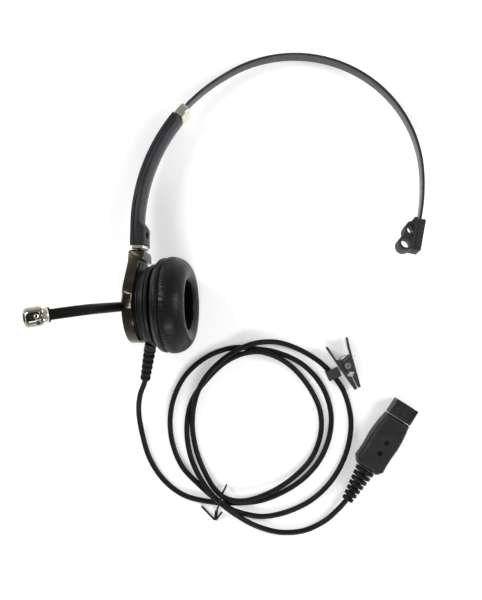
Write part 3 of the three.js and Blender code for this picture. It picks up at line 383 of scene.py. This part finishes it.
def make_materials():
    looks = {}
    arm = grained_plastic("satin_arm_plastic", (0.015, 0.016, 0.019), 0.38, grain=1900, depth=0.00002)
    arm.shader.inputs["Coat Weight"].default_value = 0.15
    arm.shader.inputs["Coat Roughness"].default_value = 0.25
    looks["armPlastic"] = arm.worn_edges((0.07, 0.07, 0.075))

    strap = Look("coated_spring_steel", (0.027, 0.028, 0.033), 0.3, metallic=0.5)
    strap.tint(strap.noise(140, 4), (0.042, 0.042, 0.049))
    strap.rough(strap.noise(1100, 3, (1, 1, 14)), 0.22, 0.42)
    strap.bump(strap.noise(1500, 2, (1, 1, 20)), 0.000006)
    looks["strapSteel"] = strap.worn_edges((0.2, 0.2, 0.21))

    looks["chrome"] = polished("polished_chrome", (0.84, 0.82, 0.7), (0.74, 0.7, 0.54), 0.07)
    looks["capsuleChrome"] = polished("smoked_chrome", (0.31, 0.32, 0.26), (0.2, 0.2, 0.15), 0.1)
    looks["rimMetal"] = polished("black_chrome", (0.048, 0.04, 0.03), (0.075, 0.062, 0.043), 0.15)
    looks["steel"] = polished("plain_steel", (0.55, 0.56, 0.57), (0.42, 0.41, 0.4), 0.22)
    looks["magnet"] = polished("nickel_plate", (0.4, 0.4, 0.41), (0.3, 0.29, 0.28), 0.25)
    looks["gold"] = polished("gold_plate", (0.75, 0.52, 0.2), (0.6, 0.4, 0.15), 0.18)

    looks["cupPlastic"] = grained_plastic("fine_black_plastic", (0.008, 0.008, 0.0078), 0.42)
    looks["plugPlastic"] = grained_plastic("charcoal_plug_plastic", (0.015, 0.015, 0.0142), 0.45)
    looks["plugPlastic"].worn_edges((0.06, 0.06, 0.058))
    looks["clipPlastic"] = gloss_plastic("gloss_black_plastic", (0.02, 0.021, 0.022), 0.12)

    rubber = grained_plastic("satin_boom_rubber", (0.0045, 0.0034, 0.003), 0.46, grain=3200)
    rubber.shader.inputs["Specular IOR Level"].default_value = 0.05
    looks["boomRubber"] = rubber
    pad = grained_plastic("grey_pad_rubber", (0.026, 0.0265, 0.0235), 0.5, grain=1700, depth=0.00004)
    pad.shader.inputs["Specular IOR Level"].default_value = 0.06
    looks["padRubber"] = pad.worn_edges((0.036, 0.036, 0.033), width=0.3)

    cord = Look("satin_cord_pvc", (0.009, 0.0078, 0.007), 0.38, Specular_IOR_Level=0.12)
    cord.tint(cord.noise(120, 3), (0.0145, 0.013, 0.012))
    cord.rough(cord.noise(600, 4), 0.3, 0.5)
    cord.bump(cord.noise(900, 2), 0.00003)
    looks["cordPvc"] = cord

    leather = Look("black_leatherette", (0.003, 0.003, 0.0028), 0.4, Specular_IOR_Level=0.22)
    leather.tint(leather.noise(60, 4), (0.005, 0.0048, 0.0045))
    leather.rough(leather.noise(300, 4), 0.32, 0.46)
    leather.bump(leather.cells(1500, "SMOOTH_F1"), 0.00004)
    leather.bump(leather.noise(420, 5), 0.00002)
    # Painted shade: the colour darkens to near black into the cushion's opening, where shade falls.
    inside = leather.node("ShaderNodeAttribute", attribute_name=PAINTED_SHADE).outputs["Fac"]
    leather.tint(inside, (0.0008, 0.0004, 0.0004), from_low=0, from_high=1)
    looks["leatherette"] = leather
    # A matt liner in the opening; its near-black colour is painted shade, carrying on the darkening above.
    liner_and_shade = Look("cushion_liner_and_shade", (0.0008, 0.0004, 0.0004), 0.85, Specular_IOR_Level=0.03)
    looks["cushionLining"] = liner_and_shade.tint(liner_and_shade.noise(900), (0.0018, 0.0012, 0.0012))

    foam = Look("open_foam", (0.003, 0.003, 0.003), 0.95, Specular_IOR_Level=0.05)
    foam.tint(foam.cells(1700), (0.006, 0.006, 0.006))
    foam.bump(foam.cells(1700), 0.0003)
    looks["foam"] = foam

    film = Look("speaker_film", (0.5, 0.47, 0.4), 0.4, Transmission_Weight=0.1)
    film.rough(film.noise(500), 0.3, 0.5)
    looks["cone"] = film.tint(film.noise(220), (0.4, 0.37, 0.3))
    board = Look("solder_mask", (0.02, 0.12, 0.045), 0.35)
    looks["circuitBoard"] = board.tint(board.noise(900, 1), (0.03, 0.2, 0.08))
    return {slot: look.material for slot, look in looks.items()}


# ---------------------------------------------------------------- pieces
def smooth_by_angle(mesh, degrees):
    """Smooth shading, with sharp edges wherever two faces meet at more than this angle."""
    mesh.polygons.foreach_set("use_smooth", [True] * len(mesh.polygons))
    work = bmesh.new()
    work.from_mesh(mesh)
    limit = math.radians(degrees)
    for edge in work.edges:
        edge.smooth = not (edge.is_manifold and edge.calc_face_angle(0) > limit)
    work.to_mesh(mesh)
    work.free()


def apply_modifiers(piece):
    """The piece keeps its evaluated mesh, and no modifier."""
    graph = bpy.context.evaluated_depsgraph_get()
    mesh = bpy.data.meshes.new_from_object(piece.evaluated_get(graph))
    piece.modifiers.clear()
    piece.data = mesh


def finish_piece(piece, node, material, smooth_angle):
    """The piece stands for a CAD node and moves with that node's body."""
    piece.data.materials.clear()
    piece.data.materials.append(material)
    smooth_by_angle(piece.data, smooth_angle)
    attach(piece, frame["nodes"][node]["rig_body"])
    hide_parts(node)


def refined(node, material, radius):
    """The node's shape with its flat faces made whole and its edges rounded to a radius in metres."""
    work = bmesh.new()
    work.from_mesh(frame["nodes"][node].data)
    bmesh.ops.remove_doubles(work, verts=work.verts, dist=WELD_DISTANCE)
    bmesh.ops.dissolve_limit(
        work, angle_limit=math.radians(FLAT_ANGLE), verts=work.verts, edges=work.edges, delimit=set(),
    )
    limit = math.radians(SHARP_ANGLE)
    edges = [e for e in work.edges if e.is_manifold and e.calc_face_angle(0) > limit]
    bmesh.ops.bevel(
        work, geom=edges, offset=radius, offset_type="OFFSET", segments=EDGE_SEGMENTS,
        profile=0.5, affect="EDGES", clamp_overlap=True,
    )
    piece = placed(f"{node}_skin", mesh_of(work, f"{node}_surface"))
    finish_piece(piece, node, material, HARD_SMOOTH_ANGLE)
    return piece


# ---------------------------------------------------------------- ear cushion
def joint(name):
    return next(j for j in frame["joints"] if j["name"] == name)


def cup_frame():
    """Where the cup's own frame stands: Z is the cup's axis, Y points up the headband."""
    axis = Vector(joint("boom_turn")["axis"]).normalized()
    along = Vector(joint("cup_swivel")["axis"]).normalized()
    across = along.cross(axis)
    matrix = Matrix((across, along, axis)).transposed().to_4x4()
    matrix.translation = Vector(joint("boom_turn")["pos_m"]) + axis * HUB_TO_MIDDLE
    return matrix


def cushion_section():
    """The cushion's cut, as [radius, height] points from the seam round the front and back again."""
    ring = [Vector((r, h, 0)) * MM for r, h in CUSHION_PROFILE]
    closed = [*ring, ring[0]]
    fine = smooth_route(closed, SECTION_POINTS_PER_SPAN)[:-1]
    return [(p.x, p.y) for p in fine]


def ring_mesh(name, section, segments):
    """A closed section turned about Z into one ring."""
    work = bmesh.new()
    rings = []
    for i in range(segments):
        angle = math.tau * i / segments
        turned = [(r * math.cos(angle), r * math.sin(angle), h) for r, h in section]
        rings.append([work.verts.new(p) for p in turned])
    skin_rings(work, [*rings, rings[0]])
    bmesh.ops.recalc_face_normals(work, faces=work.faces)
    return mesh_of(work, name)


def inflate(piece, pinned, most):
    """The cover swells and gathers between the seams that hold it; no point moves further than most."""
    start = [v.co.copy() for v in piece.data.vertices]
    group = piece.vertex_groups.new(name="sewn")
    group.add(pinned, 1.0, "REPLACE")
    cloth = piece.modifiers.new("cloth", "CLOTH")
    for setting, value in COVER_CLOTH.items():
        setattr(cloth.settings, setting, value)
    cloth.settings.vertex_group_mass = "sewn"
    cloth.settings.effector_weights.gravity = 0
    cloth.point_cache.frame_end = SIMULATED_FRAMES
    for step in range(1, SIMULATED_FRAMES + 1):
        bpy.context.scene.frame_set(step)
    relax = piece.modifiers.new("relax", "SMOOTH")
    relax.iterations = RELAX_STEPS
    relax.vertex_group = "sewn"
    relax.invert_vertex_group = True
    apply_modifiers(piece)
    for vertex, place in zip(piece.data.vertices, start):
        move = vertex.co - place
        if move.length > most:
            vertex.co = place + move * (most / move.length)
    bpy.context.scene.frame_set(1)


def crease(point):
    """Short gathers run in from the seam towards the cushion's front, and a slow unevenness covers all."""
    angle = math.atan2(point.y, point.x)
    around = Vector((math.cos(angle), math.sin(angle), 0))
    ahead = point.z - SEAM_HEIGHT
    reach = CREASE_REACH if ahead > 0 else CREASE_REACH / 3
    fade = math.exp(-abs(ahead) / reach) * min(1.0, abs(ahead) / CREASE_START)
    strength = 0.5 + noise.noise(around * STRENGTH_SCALE)
    along = Vector((0, 0, point.z * DRIFT_SCALE["along"]))
    drift = noise.noise(around * DRIFT_SCALE["around"] + along)
    wave = math.sin(CREASE_COUNT * angle + CREASE_DRIFT * drift)
    outward = around if point.xy.length > OUTER_SIDE else Vector()
    depth = CREASE_DEPTH * fade * strength * (wave - 1) / 2
    return outward * depth + around * SOFT_DEPTH * noise.noise(point * SOFT_SCALE)


def mark_painted_shade(mesh):
    """Each point is given its share of painted shade, from none to full, growing the further it lies into
    the cushion's opening.
    """
    low, high = OPENING
    inside = mesh.attributes.new(PAINTED_SHADE, "FLOAT", "POINT")
    for mark, vertex in zip(inside.data, mesh.vertices):
        mark.value = min(1.0, max(0.0, (high - vertex.co.xy.length) / (high - low)))


def on_seam(radius, height):
    return radius > OUTER_SIDE and abs(height - SEAM_HEIGHT) < SEAM_HALF_WIDTH


def make_cushion(material, liner_and_shade):
    section = cushion_section()
    count = len(section)
    mesh = ring_mesh("ear_cushion_cover", section, CUSHION_SEGMENTS)
    piece = placed("ear_cushion_cover", mesh)
    sewn = [j for j, (r, h) in enumerate(section) if h < BASE_HEIGHT or on_seam(r, h)]
    pinned = [i * count + j for i in range(CUSHION_SEGMENTS) for j in sewn]
    mesh.transform(Matrix.Scale(SIMULATION_SCALE, 4))
    inflate(piece, pinned, CUSHION_SWELL * SIMULATION_SCALE)
    piece.data.transform(Matrix.Scale(1 / SIMULATION_SCALE, 4))
    subdivide = piece.modifiers.new("smooth", "SUBSURF")
    subdivide.levels = 2
    subdivide.render_levels = 2
    apply_modifiers(piece)
    for vertex in piece.data.vertices:
        vertex.co += crease(vertex.co)
    mark_painted_shade(piece.data)
    # The opening's faces get the liner, whose near-black colour is painted shade.
    liner_and_shade_faces = [face.index for face in piece.data.polygons if face.center.xy.length < LINER_AND_SHADE_RADIUS]
    piece.data.transform(cup_frame())
    finish_piece(piece, "ear_cushion", material, COVER_SMOOTH_ANGLE)
    piece.data.materials.append(liner_and_shade)
    for index in liner_and_shade_faces:
        piece.data.polygons[index].material_index = 1

    make_stitches(material)


def make_stitches(material):
    """Short thread stitches lie along the bottom of the seam, all in one mesh."""
    work = bmesh.new()
    for i in range(STITCH_COUNT):
        angle = math.tau * i / STITCH_COUNT
        turn = Matrix.Rotation(angle, 4, "Z") @ Matrix.Translation((SEAM_RADIUS, 0, SEAM_HEIGHT))
        lie = Matrix.Rotation(math.radians(90 + STITCH["sway"] * math.sin(STITCH["sway_step"] * i)), 4, "X")
        size = Matrix.Diagonal((STITCH["radius"], STITCH["radius"], STITCH["length"] / 2, 1))
        bmesh.ops.create_icosphere(work, subdivisions=2, radius=1, matrix=cup_frame() @ turn @ lie @ size)
    mesh = mesh_of(work, "ear_cushion_stitches")
    stitches = placed("ear_cushion_stitches", mesh)
    mesh.materials.append(material)
    smooth_by_angle(mesh, STITCH_SMOOTH_ANGLE)
    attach(stitches, "ear_cup")


# ---------------------------------------------------------------- boom
def boom_frame():
    """X runs along the boom's straight part, from the hub's middle."""
    turn = Matrix.Rotation(math.radians(BOOM_TURN), 4, "Z")
    lean = Matrix.Rotation(math.radians(BOOM_LEAN), 4, "X")
    return cup_frame() @ turn @ Matrix.Translation((0, 0, -HUB_TO_MIDDLE)) @ lean


def boom_path():
    """Points along the boom's middle, in its own frame, close together at the knee."""
    low, high = BOOM_KNEE
    straight = [BOOM_START + (low - BOOM_START) * i / STEM_STEPS for i in range(STEM_STEPS)]
    knee = [low + (high - low) * i / KNEE_STEPS for i in range(KNEE_STEPS + 1)]
    path = [Vector((x, 0, 0)) for x in [*straight, *knee]]
    for i in range(BEND_STEPS + 1):
        angle = math.radians(BOOM_BEND["angle"]) * i / BEND_STEPS
        across, back = math.sin(angle), math.cos(angle) - 1
        path.append(Vector((BOOM_BEND["start"], 0, 0)) + Vector((across, 0, back)) * BOOM_BEND["radius"])
    return path


def make_boom(material):
    """One sheath from the hub to the microphone, with its rings close together at the knee."""
    stand = boom_frame()
    side = Vector((0, 1, 0))
    path = boom_path()
    turns = [math.tau * i / BOOM_SIDES for i in range(BOOM_SIDES)]
    work = bmesh.new()
    rings = []
    for before, here, after in zip([path[0], *path], path, [*path[1:], path[-1]]):
        up = (after - before).normalized().cross(side)
        edge = [here + (side * math.cos(t) + up * math.sin(t)) * BOOM_RADIUS for t in turns]
        rings.append([work.verts.new(stand @ p) for p in edge])
    skin_rings(work, rings)
    work.faces.new(rings[0])
    work.faces.new(rings[-1])
    bmesh.ops.recalc_face_normals(work, faces=work.faces)
    mesh = mesh_of(work, "boom_sheath")
    piece = placed("boom_sheath", mesh)
    mesh.materials.append(material)
    smooth_by_angle(mesh, BOOM_SMOOTH_ANGLE)
    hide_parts("boom_stem", "boom_gooseneck")
    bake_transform(piece)


# ---------------------------------------------------------------- speaker housing
def make_housing(material):
    """The stepped drum between the rim and the cushion, with a groove at each step."""
    section = [(radius * MM, height * MM) for radius, height in HOUSING_PROFILE]
    mesh = ring_mesh("speaker_drum", section, DRUM_SEGMENTS)
    mesh.transform(cup_frame())
    piece = placed("speaker_drum", mesh)
    bevel = piece.modifiers.new("edges", "BEVEL")
    bevel.width = DRUM_EDGE
    bevel.segments = 2
    bevel.limit_method = "ANGLE"
    apply_modifiers(piece)
    finish_piece(piece, "speaker_housing", material, DRUM_SMOOTH_ANGLE)


# ---------------------------------------------------------------- stage
def make_floor():
    bpy.ops.mesh.primitive_plane_add(size=FLOOR_SIZE, location=(0, 0, FLOOR_Z))
    floor = bpy.context.object
    floor.name = "floor"
    look = Look("pale_floor", (0.93, 0.93, 0.93), 0.85, Specular_IOR_Level=0.1)
    look.shader.inputs["Emission Color"].default_value = (1, 1, 1, 1)
    look.shader.inputs["Emission Strength"].default_value = FLOOR_GLOW
    floor.data.materials.append(look.material)


def make_light(name, place, size, power, aim=(0, 0, 0)):
    data = bpy.data.lights.new(name, "AREA")
    data.shape = "RECTANGLE"
    data.size, data.size_y = size
    data.energy = power
    light = placed(name, data)
    light.location = place
    light.rotation_euler = (Vector(aim) - Vector(place)).to_track_quat("-Z", "Y").to_euler()


def make_stage():
    make_floor()
    world = bpy.data.worlds.new("studio")
    world.use_nodes = True
    tree = world.node_tree
    direction = tree.nodes.new("ShaderNodeTexCoord").outputs["Generated"]
    split = tree.nodes.new("ShaderNodeSeparateXYZ")
    tree.links.new(direction, split.inputs["Vector"])
    height = tree.nodes.new("ShaderNodeValToRGB")
    tree.links.new(split.outputs["Z"], height.inputs["Fac"])
    height.color_ramp.interpolation = "EASE"
    first, last = height.color_ramp.elements
    first.position, last.position = SKY_BAND
    first.color = (1, 1, 1, 1)
    last.color = (SKY_TOP, SKY_TOP, SKY_TOP, 1)
    background = tree.nodes["Background"]
    tree.links.new(height.outputs["Color"], background.inputs["Color"])
    background.inputs["Strength"].default_value = SKY_STRENGTH
    bpy.context.scene.world = world
    for name, place, size, power in STUDIO_LIGHTS:
        make_light(name, place, size, power)
    bpy.context.scene.view_settings.view_transform = "Standard"


# ---------------------------------------------------------------- assembly
# The edge radius of each refined node, in millimetres.
REFINED = {
    "rim_trim": 0.3,
    "cup_back_cover": 0.3,
    "cup_front_frame": 0.25,
    "speaker_grille": 0.12,
    "arm_outer_shell": 0.35,
    "arm_inner_shell": 0.4,
    "arm_ferrule": 0.25,
    "swivel_ring": 0.25,
    "headband_strap": 0.12,
    "strap_stop": 0.15,
    "temple_pad": 0.3,
    "pad_plate": 0.35,
    "pad_rivet": 0.15,
    "boom_hub": 0.35,
    "boom_hub_cap": 0.15,
    "mic_lock_ring": 0.1,
    "mic_collar": 0.15,
    "mic_capsule_shell": 0.15,
    "mic_slot_ring": 0.08,
    "mic_slot_insert": 0.15,
    "mic_front_screen": 0.1,
    "cord_gland": 0.2,
    "cup_strain_relief": 0.25,
    "plug_top_shell": 0.5,
    "plug_bottom_shell": 0.4,
    "plug_nose": 0.3,
    "plug_strain_relief": 0.3,
    "clip_back_lever": 0.3,
    "clip_front_lever": 0.3,
    "clip_cord_holder": 0.3,
    "twist_tie": 0.1,
}
# Pieces whose finish differs from the rest of their material slot.
SPECIAL_LOOKS = {"mic_capsule_shell": "capsuleChrome"}


def make_pieces(materials):
    slots = {row["node"]: row["material_slot"] for row in frame["record"]["subparts"]}
    pieces = {}
    for node, radius in REFINED.items():
        look = SPECIAL_LOOKS.get(node, slots[node])
        pieces[node] = refined(node, materials[look], radius * MM)
    for node, thing in frame["nodes"].items():
        thing.data.materials.clear()
        thing.data.materials.append(materials[slots[node]])
        smooth_by_angle(thing.data, HARD_SMOOTH_ANGLE)
    return pieces


make_camera()
materials = make_materials()
cord = make_cord(materials["cordPvc"])
pieces = make_pieces(materials)
make_housing(materials["cupPlastic"])
make_boom(materials["boomRubber"])
make_cushion(materials["leatherette"], materials["cushionLining"])
make_stage()
